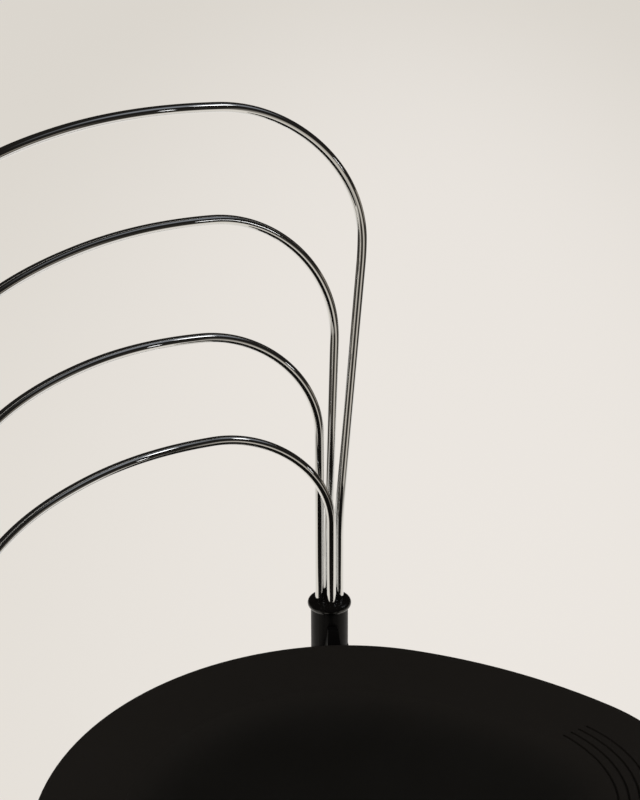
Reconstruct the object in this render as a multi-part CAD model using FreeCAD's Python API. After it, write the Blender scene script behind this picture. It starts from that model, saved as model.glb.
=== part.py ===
import FreeCAD, Part

import math
import os

os.makedirs("parts", exist_ok=True)

Vector = FreeCAD.Vector
UP = Vector(0, 0, 1)
ORIGIN = Vector(0, 0, 0)

# Side chair: a moulded seat on a tubular steel frame, with a back of four nested round rods.
# Millimetres and degrees. +Z is up, -Y is the front, +X is to the sitter's left.
# While the pieces are built, y = 0 is the line through the two back sockets. At the end the whole
# chair is centred over its base.

# Overall stance: the rim of the seat, the back sockets, and the cap's top above the seat's rim
SEAT_HEIGHT = 450.0
SOCKET_SPACING = 376.0
SOCKET_RISE = 11.0

# Round rods of the back, and the square of four holes that each cap has for them
ROD_DIAMETER = 6.5
HOLE_OFFSET = 4.9
HOLE_DEPTH = 24.0
HOLE_CLEARANCE = 0.1

# The arches of the back, from the tallest down. Column 1 is the cap's outer holes and -1 its inner
# ones; row 1 is the rear holes and -1 the front ones. Each rod rises straight, leans outward by its
# lean, and turns over a shoulder into its crown. Height is from the cap's top to the rod's centre,
# and setback is how far behind the line of the sockets the middle of the crown lies.
BACK_RODS = {
    "back_rod_top": {
        "column": 1, "row": -1, "straight": 45.0, "lean": 8.5,
        "height": 370.5, "setback": 66.0, "shoulder_radius": 104.5, "crown_radius": 953.0,
    },
    "back_rod_upper": {
        "column": 1, "row": 1, "straight": 18.0, "lean": 3.2,
        "height": 301.5, "setback": 55.5, "shoulder_radius": 100.5, "crown_radius": 793.0,
    },
    "back_rod_lower": {
        "column": -1, "row": 1, "straight": 30.0, "lean": 0.0,
        "height": 223.0, "setback": 64.5, "shoulder_radius": 87.5, "crown_radius": 722.0,
    },
    "back_rod_bottom": {
        "column": -1, "row": -1, "straight": 30.0, "lean": 0.0,
        "height": 147.0, "setback": 64.0, "shoulder_radius": 79.0, "crown_radius": 1172.0,
    },
}
KNEE_RADIUS = 260.0
SETBACK_POWER = 2.2
SHOULDER_SPANS = 3
CROWN_SPANS = 2

# Cap that closes each back socket: a domed flange with a rounded edge on a plug
CAP_FLANGE_DIAMETER = 31.0
CAP_FLANGE_THICKNESS = 6.5
CAP_DOME_RISE = 0.8
CAP_PLUG_DEPTH = 29.0
CAP_PLUG_CLEARANCE = 0.1

# Leg tube, and how the legs splay below the seat
LEG_DIAMETER = 26.5
LEG_WALL = 1.5
LEG_BEND_RADIUS = 160.0
LEG_BEND_DROP = 65.0
REAR_SPLAY_ANGLE = 10.0
REAR_SPLAY_HEADING = 75.0
FRONT_SPLAY_ANGLE = 9.0
FRONT_SPLAY_HEADING = -50.0
FRONT_LEG_SPACING = 290.0
FRONT_LEG_SETBACK = 238.0

# Rails that join the legs under the seat
RAIL_DIAMETER = 18.0
RAIL_WALL = 1.5
RAIL_DROP = 18.0

# Foot glides
GLIDE_WALL = 2.2
GLIDE_LENGTH = 26.0
GLIDE_FLOOR = 7.0
GLIDE_CLEARANCE = 0.1
GLIDE_EDGE = 1.6

# Seat outline, from the middle of the rear edge round to the middle of the front edge: the radius of
# each arc and the angle that it turns. The front arc takes what is left of the half turn.
SEAT_REAR_REACH = 47.7
SEAT_ARCS = {
    "rear": {"radius": 193.5, "angle": 46.5},
    "rear_corner": {"radius": 162.0, "angle": 26.5},
    "side": {"radius": 344.0, "angle": 24.0},
    "front_corner": {"radius": 115.0, "angle": 66.0},
}

# Seat section: rolled rim, sloping border, and the dish inside it
SEAT_WALL = 4.5
RIM_DROP = 14.0
RIM_WALL = 4.0
RIM_EDGE_RADIUS = 2.0
BORDER_WIDTH = 51.0
BORDER_FALL = 4.0
DISH_DEPTH = 13.0
DISH_SLOPE_WIDTH = 46.0

# Shape of the slope into the dish, as shares of its width and of the dish's depth
SLOPE_LIP_SHARE = 0.28
SLOPE_LIP_FALL_SHARE = 0.62
SLOPE_FLOOR_SHARE = 0.45

# Fine grooves round each front corner of the border: arcs of one radius, stepped out along the
# corner's diagonal. Each one turns a little further than the one inside it.
GROOVE_COUNT = 4
GROOVE_RADIUS = 90.0
GROOVE_CENTRE_X = 58.5
GROOVE_CENTRE_SETBACK = 187.5
GROOVE_STEP = 6.7
GROOVE_ANGLE = 65.0
GROOVE_ANGLE_GAIN = 2.5
GROOVE_WIDTH = 1.5
GROOVE_DEPTH = 1.5
CORNER_HEADING = -45.0

# Seat bosses, and the ribs that tie them together under the dish
BOSS_DIAMETER = 16.0
BOSS_FACE_DROP = 26.0
RIB_THICKNESS = 3.0
RIB_DEPTH = 7.0

# Brackets that carry the seat: a long arm with an upright lug behind, a short plate in front
BRACKET_THICKNESS = 4.0
BRACKET_NOSE_RADIUS = 10.0
REAR_ARM_REACH = 98.0
REAR_ARM_HEADING = 222.0
FRONT_PLATE_REACH = 30.0
FRONT_PLATE_HEADING = 135.0
LUG_WIDTH = 7.0
LUG_FOOT_WIDTH = 12.0
LUG_PROUD = 6.0
LUG_TOP_DROP = 16.0
LUG_NOSE_RADIUS = 3.0

# Seat screws and washers
SCREW_DIAMETER = 5.0
SCREW_LENGTH = 14.0
SCREW_HEAD_DIAMETER = 9.5
SCREW_HEAD_HEIGHT = 3.4
SCREW_HEAD_EDGE = 1.2
SCREW_HOLE_CLEARANCE = 0.3
BOSS_BORE_CLEARANCE = 0.1
BOSS_BORE_SPARE = 2.0
WASHER_DIAMETER = 14.0
WASHER_THICKNESS = 1.0

# Levels and places that follow from the sizes above
CAP_TOP = SEAT_HEIGHT + SOCKET_RISE
TUBE_TOP = CAP_TOP - CAP_FLANGE_THICKNESS
BRACKET_TOP = SEAT_HEIGHT - BOSS_FACE_DROP
BRACKET_BOTTOM = BRACKET_TOP - BRACKET_THICKNESS
RAIL_HEIGHT = BRACKET_BOTTOM - RAIL_DROP
ROD_RADIUS = ROD_DIAMETER / 2
LEG_RADIUS = LEG_DIAMETER / 2
SIDES = {"left": 1, "right": -1}
REAR_SOCKET = Vector(SOCKET_SPACING / 2, 0, 0)
FRONT_LEG = Vector(FRONT_LEG_SPACING / 2, -FRONT_LEG_SETBACK, 0)


def heading(angle):
    """Level unit vector at an angle from +X towards +Y."""
    return Vector(math.cos(math.radians(angle)), math.sin(math.radians(angle)), 0)


def mirrored(shape):
    """The same piece on the other side of the chair."""
    return shape.mirror(ORIGIN, Vector(1, 0, 0))


def on_side(shape, side):
    """A piece drawn on the left, placed on the named side."""
    return shape if side == "left" else mirrored(shape)


def cylinder(radius, height, base, axis=UP):
    return Part.makeCylinder(radius, height, base, axis)


def biarc(start, start_way, end, end_way):
    """Two arcs, or one straight line, that leave start and reach end along the given ways."""
    chord = end - start
    if chord.getAngle(start_way) < 1e-6 and chord.getAngle(end_way) < 1e-6:
        return [Part.LineSegment(start, end).toShape()]
    ways = start_way + end_way
    square = 2 * (1 - start_way.dot(end_way))
    along = chord.dot(ways)
    if abs(square) < 1e-9:
        reach = chord.dot(chord) / (4 * chord.dot(end_way))
    else:
        reach = (-along + math.sqrt(along ** 2 + square * chord.dot(chord))) / square
    first = start + start_way * reach
    last = end - end_way * reach
    middle = (first + last) * 0.5
    join_way = (last - first).normalize()
    edges = []
    for a, way, b in ((start, start_way, middle), (middle, join_way, end)):
        edges.append(tangent_arc(a, way, b))
    return edges


def tangent_arc(start, way, end):
    """The arc that leaves start along way and ends at end."""
    chord = end - start
    sideways = chord - way * chord.dot(way)
    sideways.normalize()
    radius = chord.dot(chord) / (2 * chord.dot(sideways))
    centre = start + sideways * radius
    bisector = (start + end) * 0.5 - centre
    bisector.normalize()
    return Part.Arc(start, centre + bisector * radius, end).toShape()


def pipe(edges, radius):
    """Round bar along a line of edges that run on smoothly from one another."""
    first = edges[0]
    start = first.valueAt(first.FirstParameter)
    way = first.tangentAt(first.FirstParameter)
    ring = Part.Wire([Part.Circle(start, way, radius).toShape()])
    return Part.Wire(edges).makePipeShell([ring], True, False)


# Back rods

def rod_stations(rod):
    """Points and ways along the left half of a rod, from the floor of its hole to the crown."""
    hole_x = REAR_SOCKET.x + rod["column"] * HOLE_OFFSET
    hole_y = REAR_SOCKET.y + rod["row"] * HOLE_OFFSET
    lean = math.radians(rod["lean"])
    shoulder = rod["shoulder_radius"]
    crown = rod["crown_radius"]
    crown_centre = rod["height"] - crown

    # The knee turns the upright run into the leaning one
    knee_x = KNEE_RADIUS * (1 - math.cos(lean))
    knee_z = KNEE_RADIUS * math.sin(lean)
    leg_x = hole_x + knee_x
    leg_z = rod["straight"] + knee_z

    # The shoulder touches the leaning run outside and the crown inside
    off_x = leg_x - shoulder * math.cos(lean)
    off_z = leg_z + shoulder * math.sin(lean) - crown_centre
    along = off_x * math.sin(lean) + off_z * math.cos(lean)
    spare = off_x ** 2 + off_z ** 2 - (crown - shoulder) ** 2
    run = -along + math.sqrt(along ** 2 - spare)
    centre_x = leg_x + run * math.sin(lean) - shoulder * math.cos(lean)
    centre_z = leg_z + run * math.cos(lean) + shoulder * math.sin(lean)
    widest = centre_x + shoulder
    turn = math.atan2(centre_z - crown_centre, centre_x)

    def place(x, z, angle):
        """A point of the arch, set back towards the crown, and the way the rod runs there."""
        share = min(x / widest, 1.0)
        setback = rod["setback"] - hole_y
        back = setback * (1 - share ** SETBACK_POWER)
        slope = -setback * SETBACK_POWER * share ** (SETBACK_POWER - 1) / widest
        step_x = -math.sin(angle)
        way = Vector(step_x, slope * step_x, math.cos(angle))
        return Vector(x, hole_y + back, CAP_TOP + z), way.normalize()

    stations = [(Vector(hole_x, hole_y, CAP_TOP - HOLE_DEPTH), UP)]
    stations.append((Vector(hole_x, hole_y, CAP_TOP + rod["straight"]), UP))
    if lean > 0:
        leaning = Vector(math.sin(lean), 0, math.cos(lean))
        stations.append((Vector(leg_x, hole_y, CAP_TOP + leg_z), leaning))
        top_x = leg_x + run * math.sin(lean)
        top_z = leg_z + run * math.cos(lean)
        stations.append((Vector(top_x, hole_y, CAP_TOP + top_z), leaning))
    stations.append((Vector(widest, hole_y, CAP_TOP + centre_z), UP))
    for step in range(1, SHOULDER_SPANS + 1):
        angle = turn * step / SHOULDER_SPANS
        x = centre_x + shoulder * math.cos(angle)
        z = centre_z + shoulder * math.sin(angle)
        stations.append(place(x, z, angle))
    for step in range(1, CROWN_SPANS + 1):
        angle = turn + (math.pi / 2 - turn) * step / CROWN_SPANS
        stations.append(place(crown * math.cos(angle), crown_centre + crown * math.sin(angle), angle))
    return stations


def back_rod(rod):
    half = rod_stations(rod)
    other = [(Vector(-p.x, p.y, p.z), Vector(w.x, -w.y, -w.z)) for p, w in reversed(half[:-1])]
    stations = half + other
    edges = []
    for (a, way_a), (b, way_b) in zip(stations, stations[1:]):
        edges += biarc(a, way_a, b, way_b)
    return pipe(edges, ROD_RADIUS)


def rod_cap():
    """Flanged cap with four blind holes, on the left socket."""
    flange = CAP_FLANGE_DIAMETER / 2
    edge = CAP_FLANGE_THICKNESS / 2
    plug = LEG_RADIUS - LEG_WALL - CAP_PLUG_CLEARANCE
    dome_radius = ((flange - edge) ** 2 + CAP_DOME_RISE ** 2) / (2 * CAP_DOME_RISE)
    half_way = (flange - edge) / 2
    dome_centre = CAP_DOME_RISE - dome_radius
    dome_middle = Vector(half_way, 0, dome_centre + math.sqrt(dome_radius ** 2 - half_way ** 2))
    outline = [
        Part.LineSegment(Vector(0, 0, -CAP_PLUG_DEPTH), Vector(plug, 0, -CAP_PLUG_DEPTH)),
        Part.LineSegment(Vector(plug, 0, -CAP_PLUG_DEPTH), Vector(plug, 0, -CAP_FLANGE_THICKNESS)),
        Part.LineSegment(
            Vector(plug, 0, -CAP_FLANGE_THICKNESS), Vector(flange - edge, 0, -CAP_FLANGE_THICKNESS)
        ),
        Part.Arc(
            Vector(flange - edge, 0, -CAP_FLANGE_THICKNESS), Vector(flange, 0, -edge),
            Vector(flange - edge, 0, 0),
        ),
        Part.Arc(Vector(flange - edge, 0, 0), dome_middle, Vector(0, 0, CAP_DOME_RISE)),
        Part.LineSegment(Vector(0, 0, CAP_DOME_RISE), Vector(0, 0, -CAP_PLUG_DEPTH)),
    ]
    face = Part.Face(Part.Wire([line.toShape() for line in outline]))
    body = face.revolve(ORIGIN, UP, 360)
    for column in (1, -1):
        for row in (1, -1):
            floor = Vector(column * HOLE_OFFSET, row * HOLE_OFFSET, -HOLE_DEPTH)
            body = body.cut(cylinder(ROD_RADIUS + HOLE_CLEARANCE, 2 * HOLE_DEPTH, floor))
    body.translate(Vector(REAR_SOCKET.x, REAR_SOCKET.y, CAP_TOP))
    return body


# Legs, rails and feet

def leg_line(top, splay, splay_heading):
    """Edges down the middle of a leg, and the way it meets the floor."""
    way = heading(splay_heading)
    tilt = math.radians(splay)
    bend = Vector(top.x, top.y, SEAT_HEIGHT - LEG_BEND_DROP)

    def on_bend(angle):
        out = LEG_BEND_RADIUS * (1 - math.cos(angle))
        fall = LEG_BEND_RADIUS * math.sin(angle)
        return bend + way * out - UP * fall

    down = way * math.sin(tilt) - UP * math.cos(tilt)
    low = on_bend(tilt)
    foot = low + down * ((low.z - GLIDE_FLOOR) / math.cos(tilt))
    edges = [
        Part.LineSegment(top, bend).toShape(),
        Part.Arc(bend, on_bend(tilt / 2), low).toShape(),
        Part.LineSegment(low, foot).toShape(),
    ]
    return edges, foot, down


LEG_LINES = {
    "rear": leg_line(
        Vector(REAR_SOCKET.x, REAR_SOCKET.y, TUBE_TOP), REAR_SPLAY_ANGLE, REAR_SPLAY_HEADING
    ),
    "front": leg_line(
        Vector(FRONT_LEG.x, FRONT_LEG.y, BRACKET_BOTTOM), FRONT_SPLAY_ANGLE, FRONT_SPLAY_HEADING
    ),
}


def leg_tube(row):
    edges = LEG_LINES[row][0]
    return pipe(edges, LEG_RADIUS).cut(pipe(edges, LEG_RADIUS - LEG_WALL))


def foot_glide(row):
    """Cup over the end of a leg, cut flat where it stands on the floor."""
    foot, down = LEG_LINES[row][1:]
    outer = LEG_RADIUS + GLIDE_CLEARANCE + GLIDE_WALL
    below = 2 * GLIDE_FLOOR
    body = cylinder(outer, GLIDE_LENGTH + below, foot + down * below, down * -1)
    rounded = [e for e in body.Edges if e.Curve.TypeId == "Part::GeomCircle" and e.CenterOfMass.z > foot.z]
    body = body.makeFillet(GLIDE_EDGE, rounded)
    body = body.cut(cylinder(LEG_RADIUS + GLIDE_CLEARANCE, 2 * GLIDE_LENGTH, foot, down * -1))
    reach = 4 * LEG_DIAMETER
    corner = Vector(foot.x - reach / 2, foot.y - reach / 2, -reach)
    return body.cut(Part.makeBox(reach, reach, reach, corner))


def rail(start, end, leg_ends):
    """Straight tube between two legs, shaped at each end to the leg that it is welded to."""
    way = end - start
    body = cylinder(RAIL_DIAMETER / 2, way.Length, start, way)
    body = body.cut(cylinder(RAIL_DIAMETER / 2 - RAIL_WALL, way.Length, start, way))
    for place in leg_ends:
        body = body.cut(cylinder(LEG_RADIUS, LEG_DIAMETER, place - UP * LEG_RADIUS))
    return body


def at_rail_height(point, side=1):
    return Vector(side * point.x, point.y, RAIL_HEIGHT)


# Seat shell

def seat_arcs(inset):
    """Centre, radius, first heading and turn of each arc of the left half outline, set in by inset."""
    point = Vector(0, SEAT_REAR_REACH, 0)
    turned = 0.0
    arcs = []
    for arc in SEAT_ARCS.values():
        radius, turn = arc["radius"], arc["angle"]
        outward = heading(90 - turned)
        centre = point - outward * radius
        arcs.append((centre, radius - inset, turned, turn))
        turned += turn
        point = centre + heading(90 - turned) * radius
    last_turn = 180 - turned
    front_radius = point.x / math.sin(math.radians(last_turn))
    centre = point - heading(90 - turned) * front_radius
    arcs.append((centre, front_radius - inset, turned, last_turn))
    return arcs


def seat_outline(inset, level):
    """Closed outline of the seat at a height, set in by inset."""
    edges = []
    for centre, radius, turned, turn in seat_arcs(inset):
        ends = [centre + heading(90 - turned - turn * part) * radius for part in (0, 0.5, 1)]
        ends = [Vector(p.x, p.y, level) for p in ends]
        edges.append(Part.Arc(*ends).toShape())
    return Part.Wire(edges + [mirrored(edge) for edge in reversed(edges)])


def border_fall(inset):
    """How far the border's surface lies below the rim at a distance in from the edge."""
    return BORDER_FALL * (inset - RIM_EDGE_RADIUS) / (BORDER_WIDTH - RIM_EDGE_RADIUS)


def at_seat(inset, fall):
    """A point of the seat's section, in the upright plane at the middle of the rear edge."""
    return Vector(0, SEAT_REAR_REACH - inset, SEAT_HEIGHT - fall)


def section_line(a, b):
    return Part.LineSegment(at_seat(*a), at_seat(*b)).toShape()


def section_curve(points):
    spline = Part.BSplineCurve()
    spline.buildFromPolesMultsKnots([at_seat(*p) for p in points], [4, 4], [0, 1], False, 3)
    return spline.toShape()


def slope_points(depth):
    """Control points of the slope into the dish, that far below the seat's surface."""
    dish = BORDER_WIDTH + DISH_SLOPE_WIDTH
    lip = BORDER_WIDTH + SLOPE_LIP_SHARE * DISH_SLOPE_WIDTH
    floor = BORDER_WIDTH + SLOPE_FLOOR_SHARE * DISH_SLOPE_WIDTH
    lip_fall = SLOPE_LIP_FALL_SHARE * DISH_DEPTH
    points = [(BORDER_WIDTH, BORDER_FALL), (lip, lip_fall), (floor, DISH_DEPTH), (dish, DISH_DEPTH)]
    return [(inset, fall + depth) for inset, fall in points]


def seat_section():
    """Section through the rim, border and dish."""
    upper = slope_points(0)
    lower = slope_points(SEAT_WALL)
    edge = RIM_EDGE_RADIUS
    inner_edge = RIM_WALL + RIM_EDGE_RADIUS
    corner = edge * (1 - math.sqrt(0.5))
    under_rim = (inner_edge, SEAT_WALL + border_fall(inner_edge))
    edges = [
        section_line((0, RIM_DROP), (0, edge)),
        Part.Arc(at_seat(0, edge), at_seat(corner, corner), at_seat(edge, 0)).toShape(),
        section_line((edge, 0), upper[0]),
        section_curve(upper),
        section_line(upper[-1], lower[-1]),
        section_curve(lower[::-1]),
        section_line(lower[0], under_rim),
        section_line(under_rim, (RIM_WALL, under_rim[1] + edge)),
        section_line((RIM_WALL, under_rim[1] + edge), (RIM_WALL, RIM_DROP)),
        section_line((RIM_WALL, RIM_DROP), (0, RIM_DROP)),
    ]
    return Part.Wire(edges)


def room_section():
    """Section from the middle of the shell's wall down to the faces of the bosses."""
    upper = slope_points(SEAT_WALL / 2)
    start = RIM_WALL + RIM_EDGE_RADIUS
    first = (start, SEAT_WALL / 2 + border_fall(start))
    edges = [
        section_line(first, upper[0]),
        section_curve(upper),
        section_line(upper[-1], (upper[-1][0], BOSS_FACE_DROP)),
        section_line((upper[-1][0], BOSS_FACE_DROP), (start, BOSS_FACE_DROP)),
        section_line((start, BOSS_FACE_DROP), first),
    ]
    return Part.Wire(edges)


def dished(section, low, high):
    """A section carried round the seat's outline, with the middle filled between two falls."""
    body = seat_outline(0, SEAT_HEIGHT).makePipeShell([section], True, True)
    middle = Part.Face(seat_outline(BORDER_WIDTH + DISH_SLOPE_WIDTH, SEAT_HEIGHT - low))
    return body.fuse(middle.extrude(UP * (low - high)))


def grooves():
    """Round-ended cutters for the grooves of both front corners."""
    corner_centre, corner_radius = seat_arcs(0)[list(SEAT_ARCS).index("front_corner")][:2]
    first_centre = Vector(GROOVE_CENTRE_X, -GROOVE_CENTRE_SETBACK, 0)
    outward = heading(CORNER_HEADING)
    height = 2 * BORDER_FALL + GROOVE_DEPTH
    cutters = []
    for count in range(GROOVE_COUNT):
        centre = first_centre + outward * (GROOVE_STEP * count)
        middle = centre + outward * GROOVE_RADIUS
        inset = corner_radius - middle.distanceToPoint(corner_centre)
        base = centre + UP * (SEAT_HEIGHT - border_fall(inset) - GROOVE_DEPTH)
        half_turn = (GROOVE_ANGLE + GROOVE_ANGLE_GAIN * count) / 2
        cutter = Part.makeCylinder(GROOVE_RADIUS + GROOVE_WIDTH / 2, height, base, UP, 2 * half_turn)
        cutter.rotate(base, UP, CORNER_HEADING - half_turn)
        cutter = cutter.cut(cylinder(GROOVE_RADIUS - GROOVE_WIDTH / 2, height, base))
        for angle in (CORNER_HEADING - half_turn, CORNER_HEADING + half_turn):
            cutter = cutter.fuse(cylinder(GROOVE_WIDTH / 2, height, base + heading(angle) * GROOVE_RADIUS))
        cutters += [cutter, mirrored(cutter)]
    return cutters


def screw_places():
    """Where the four seat screws stand, level with the axis of the chair's frame."""
    rear = REAR_SOCKET + heading(REAR_ARM_HEADING) * REAR_ARM_REACH
    front = FRONT_LEG + heading(FRONT_PLATE_HEADING) * FRONT_PLATE_REACH
    return [Vector(side * place.x, place.y, 0) for place in (rear, front) for side in SIDES.values()]


def seat_shell():
    body = dished(seat_section(), DISH_DEPTH + SEAT_WALL, DISH_DEPTH)
    room = dished(room_section(), BOSS_FACE_DROP, DISH_DEPTH + SEAT_WALL / 2)
    places = screw_places()
    under = []
    for place in places:
        face = Vector(place.x, place.y, BRACKET_TOP)
        under.append(cylinder(BOSS_DIAMETER / 2, BOSS_FACE_DROP, face).common(room))
    left_rear, right_rear, left_front, right_front = places
    ring = [left_rear, right_rear, right_front, left_front]
    rib_bottom = UP * (SEAT_HEIGHT - DISH_DEPTH - SEAT_WALL - RIB_DEPTH)
    for a, b in zip(ring, ring[1:] + ring[:1]):
        way = b - a
        side = UP.cross(way).normalize() * (RIB_THICKNESS / 2)
        corners = [p + rib_bottom for p in (a + side, b + side, b - side, a - side)]
        rib = Part.Face(Part.makePolygon(corners + corners[:1])).extrude(UP * BOSS_FACE_DROP)
        under.append(rib.common(room))
    body = body.multiFuse(under)
    bore_depth = SCREW_LENGTH - WASHER_THICKNESS - BRACKET_THICKNESS + BOSS_BORE_SPARE
    bores = []
    for place in places:
        mouth = Vector(place.x, place.y, BRACKET_TOP)
        bores.append(cylinder(SCREW_DIAMETER / 2 + BOSS_BORE_CLEARANCE, bore_depth, mouth))
    return body.cut(bores + grooves()).removeSplitter()


# Brackets and fasteners

def bracket_plate(root, way, reach, root_radius):
    """Flat plate with round ends, from a root point out to the screw, with the screw's hole."""
    tip = root + way * reach
    lean = math.asin((root_radius - BRACKET_NOSE_RADIUS) / reach)
    left = Vector(-way.y, way.x, 0)

    def rim(centre, radius, angle):
        return centre + way * (radius * math.sin(angle)) + left * (radius * math.cos(angle))

    def other(centre, radius, angle):
        return centre + way * (radius * math.sin(angle)) - left * (radius * math.cos(angle))

    a, b = rim(root, root_radius, lean), rim(tip, BRACKET_NOSE_RADIUS, lean)
    c, d = other(tip, BRACKET_NOSE_RADIUS, lean), other(root, root_radius, lean)
    edges = [
        Part.LineSegment(a, b).toShape(),
        Part.Arc(b, tip + way * BRACKET_NOSE_RADIUS, c).toShape(),
        Part.LineSegment(c, d).toShape(),
        Part.Arc(d, root - way * root_radius, a).toShape(),
    ]
    plate = Part.Face(Part.Wire(edges)).extrude(UP * BRACKET_THICKNESS)
    return plate.cut(cylinder(SCREW_DIAMETER / 2 + SCREW_HOLE_CLEARANCE, BRACKET_THICKNESS, tip))


def rear_seat_arm():
    """T-section arm from the left socket tube to the seat's rear boss, with its lug up the tube."""
    way = heading(REAR_ARM_HEADING)
    left = Vector(-way.y, way.x, 0)
    root = Vector(REAR_SOCKET.x, REAR_SOCKET.y, BRACKET_BOTTOM)
    plate = bracket_plate(root, way, REAR_ARM_REACH, LEG_RADIUS)

    top = CAP_TOP - LUG_TOP_DROP
    front = LEG_RADIUS + LUG_PROUD
    under_rim = SEAT_HEIGHT - RIM_DROP - BRACKET_THICKNESS / 2
    nose = LUG_NOSE_RADIUS
    end = REAR_ARM_REACH - BOSS_DIAMETER

    def at(out, level):
        return Vector(REAR_SOCKET.x, REAR_SOCKET.y, level) + way * out

    bend = nose * (1 - math.sqrt(0.5))
    edges = [
        Part.LineSegment(at(0, BRACKET_BOTTOM), at(0, top)).toShape(),
        Part.LineSegment(at(0, top), at(front - nose, top)).toShape(),
        Part.Arc(at(front - nose, top), at(front - bend, top - bend), at(front, top - nose)).toShape(),
        Part.LineSegment(at(front, top - nose), at(front + nose, under_rim)).toShape(),
        Part.LineSegment(at(front + nose, under_rim), at(end, BRACKET_TOP)).toShape(),
        Part.LineSegment(at(end, BRACKET_TOP), at(end, BRACKET_BOTTOM)).toShape(),
        Part.LineSegment(at(end, BRACKET_BOTTOM), at(0, BRACKET_BOTTOM)).toShape(),
    ]
    side_view = Part.Face(Part.Wire(edges))
    side_view.translate(left * (-LUG_FOOT_WIDTH / 2))
    rib = side_view.extrude(left * LUG_FOOT_WIDTH)

    half_top, half_foot = LUG_WIDTH / 2, LUG_FOOT_WIDTH / 2
    corners = [
        at(0, BRACKET_BOTTOM) - left * half_foot,
        at(0, BRACKET_BOTTOM) + left * half_foot,
        at(0, BRACKET_TOP) + left * half_foot,
        at(0, top) + left * half_top,
        at(0, top) - left * half_top,
        at(0, BRACKET_TOP) - left * half_foot,
    ]
    front_view = Part.Face(Part.makePolygon(corners + corners[:1])).extrude(way * REAR_ARM_REACH)
    arm = plate.fuse(rib.common(front_view))
    tube = cylinder(LEG_RADIUS, CAP_TOP, Vector(REAR_SOCKET.x, REAR_SOCKET.y, 0))
    return arm.cut(tube).removeSplitter()


def front_seat_plate():
    """Plate on top of the left front leg, out to the seat's front boss."""
    root = Vector(FRONT_LEG.x, FRONT_LEG.y, BRACKET_BOTTOM)
    return bracket_plate(root, heading(FRONT_PLATE_HEADING), FRONT_PLATE_REACH, LEG_RADIUS)


def seat_screw(place):
    """Pan head screw, pointing up into its boss."""
    seat_of_head = BRACKET_BOTTOM - WASHER_THICKNESS
    shank = cylinder(SCREW_DIAMETER / 2, SCREW_LENGTH, Vector(place.x, place.y, seat_of_head))
    base = Vector(place.x, place.y, seat_of_head - SCREW_HEAD_HEIGHT)
    head = cylinder(SCREW_HEAD_DIAMETER / 2, SCREW_HEAD_HEIGHT, base)
    lowest = [e for e in head.Edges if abs(e.CenterOfMass.z - base.z) < 0.01]
    return shank.fuse(head.makeFillet(SCREW_HEAD_EDGE, lowest)).removeSplitter()


def seat_washer(place):
    base = Vector(place.x, place.y, BRACKET_BOTTOM - WASHER_THICKNESS)
    disc = cylinder(WASHER_DIAMETER / 2, WASHER_THICKNESS, base)
    return disc.cut(cylinder(SCREW_DIAMETER / 2 + SCREW_HOLE_CLEARANCE, WASHER_THICKNESS, base))


def build_chair():
    """Every piece of the chair by name, with y = 0 on the line of the back sockets."""
    pieces = {"seat_shell": seat_shell()}
    for name, rod in BACK_RODS.items():
        pieces[name] = back_rod(rod)
    left_pieces = {
        "rod_cap": rod_cap(),
        "rear_leg": leg_tube("rear"),
        "front_leg": leg_tube("front"),
        "rear_seat_arm": rear_seat_arm(),
        "front_seat_plate": front_seat_plate(),
        "foot_glide_rear": foot_glide("rear"),
        "foot_glide_front": foot_glide("front"),
        "side_rail": rail(
            at_rail_height(FRONT_LEG), at_rail_height(REAR_SOCKET),
            [at_rail_height(FRONT_LEG), at_rail_height(REAR_SOCKET)],
        ),
    }
    for name, shape in left_pieces.items():
        for side in SIDES:
            pieces[name + "_" + side] = on_side(shape, side)
    for name, place in (("front_rail", FRONT_LEG), ("rear_rail", REAR_SOCKET)):
        ends = [at_rail_height(place, -1), at_rail_height(place)]
        pieces[name] = rail(ends[0], ends[1], ends)
    pieces["seat_screws"] = Part.Compound([seat_screw(place) for place in screw_places()])
    pieces["seat_washers"] = Part.Compound([seat_washer(place) for place in screw_places()])
    return pieces


def main():
    pieces = build_chair()
    overall = Part.Compound(list(pieces.values())).optimalBoundingBox(False, False)
    to_base_centre = Vector(0, -overall.Center.y, 0)
    for name, shape in pieces.items():
        placed = shape.copy()
        placed.translate(to_base_centre)
        placed.exportStep("parts/" + name + ".step")
        print(name, "valid", placed.isValid(), "solids", len(placed.Solids), "volume", round(placed.Volume))
    print("shift", to_base_centre, "overall", overall)


main()
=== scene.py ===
"""A side chair with a dished black seat and a back of nested chromed rods, dressed for pictures.

Every length is in metres, unless its name ends in _mm or its class says millimetres. +Z is up, -Y is
the chair's front and +X is the sitter's left.
"""

import logging
import math
from dataclasses import dataclass, field
from enum import Enum
from typing import Any, Dict, List, Optional, Sequence, Tuple

import bpy
from mathutils import Matrix, Vector


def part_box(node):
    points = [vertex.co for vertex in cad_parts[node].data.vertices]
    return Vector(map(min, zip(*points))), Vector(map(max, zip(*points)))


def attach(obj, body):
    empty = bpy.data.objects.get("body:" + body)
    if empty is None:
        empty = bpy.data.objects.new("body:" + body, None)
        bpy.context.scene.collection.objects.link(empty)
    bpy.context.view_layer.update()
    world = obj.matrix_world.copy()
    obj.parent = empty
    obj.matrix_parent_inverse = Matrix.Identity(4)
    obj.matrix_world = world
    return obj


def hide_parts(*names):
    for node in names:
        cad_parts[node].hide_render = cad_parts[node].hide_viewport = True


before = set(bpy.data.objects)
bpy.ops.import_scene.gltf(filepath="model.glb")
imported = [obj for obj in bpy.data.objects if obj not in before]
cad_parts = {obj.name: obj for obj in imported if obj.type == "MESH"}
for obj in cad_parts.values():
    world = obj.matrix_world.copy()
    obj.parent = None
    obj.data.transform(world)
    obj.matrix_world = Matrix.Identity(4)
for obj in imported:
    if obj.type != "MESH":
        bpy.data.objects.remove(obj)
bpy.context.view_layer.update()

logging.basicConfig(level=logging.INFO, format="%(message)s")
LOG = logging.getLogger("chair")

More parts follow.
